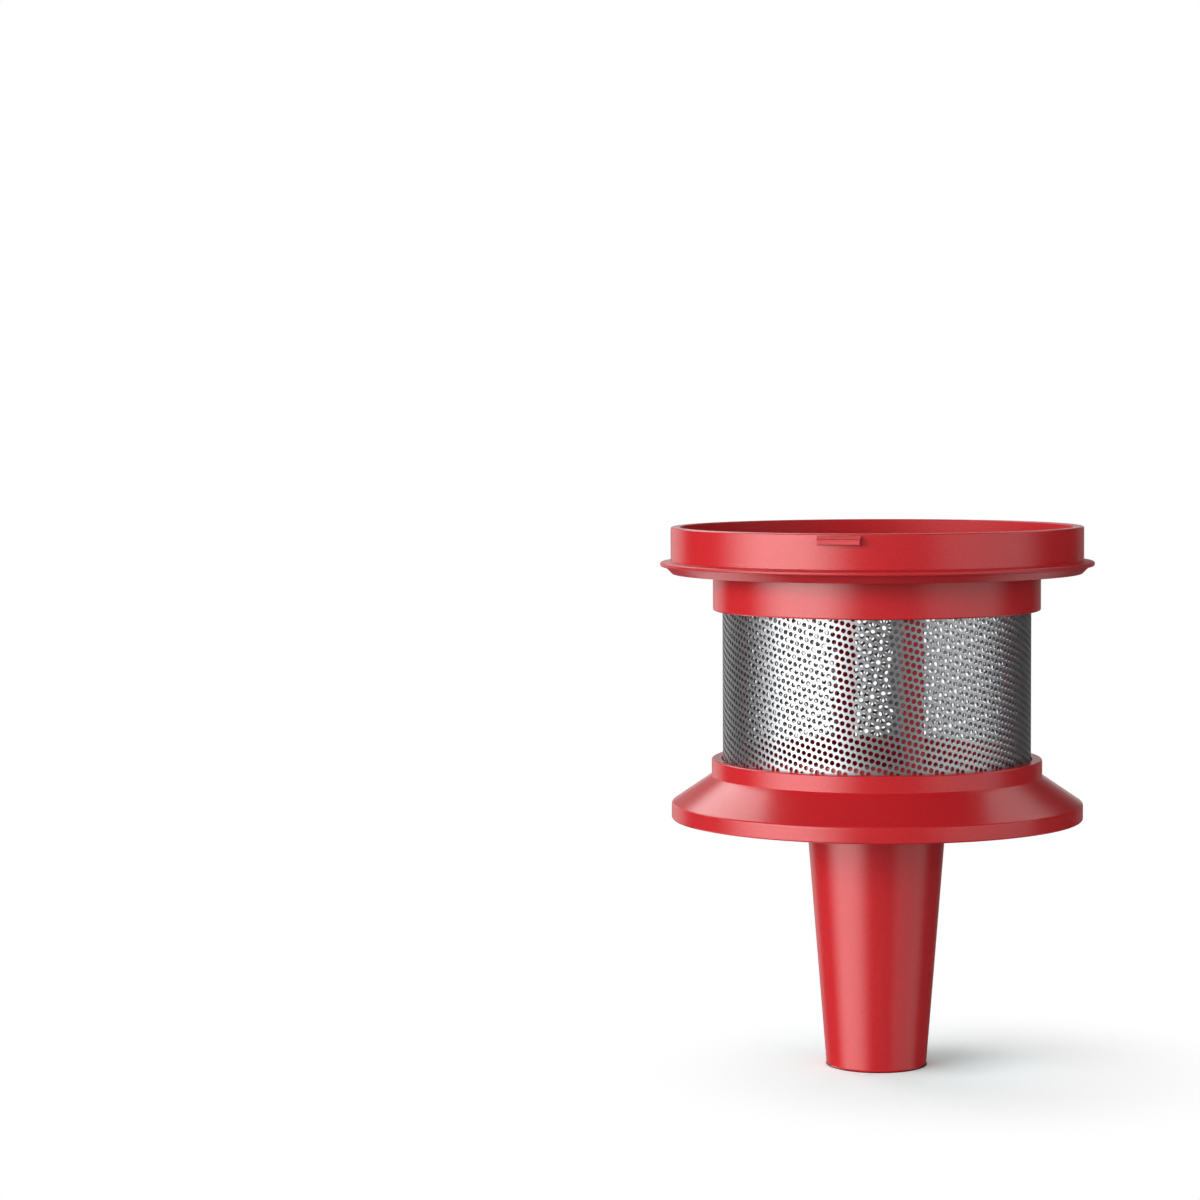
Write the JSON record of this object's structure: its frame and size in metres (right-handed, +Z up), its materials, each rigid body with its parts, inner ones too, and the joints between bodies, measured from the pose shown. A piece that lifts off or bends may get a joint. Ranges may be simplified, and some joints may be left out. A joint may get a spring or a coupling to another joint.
{
  "type": "vacuum filter",
  "caption": "Cyclone filter for a bagless vacuum: open red collar with a lip seal, perforated steel screen on a posted cage, flared skirt and tapered dust cone.",
  "frame": {"origin": "middle of the foot of the dust cone, on the surface that the filter stands on", "axes": "+Z up along the axis of the filter, -Y towards the first snap lug"},
  "size_m": [0.104, 0.104, 0.1304],
  "materials": {
    "red_plastic": "satin moulded ABS",
    "red_silicone": "smooth silicone",
    "screen_steel": "perforated stainless sheet",
    "screw_steel": "bright zinc"
  },
  "bodies": {
    "root": {"filter_collar": "red_plastic", "lip_seal": "red_silicone", "screen": "screen_steel", "screen_cage": "red_plastic", "skirt": "red_plastic", "dust_cone": "red_plastic", "collar_screws": "screw_steel"}
  },
  "joints": []
}
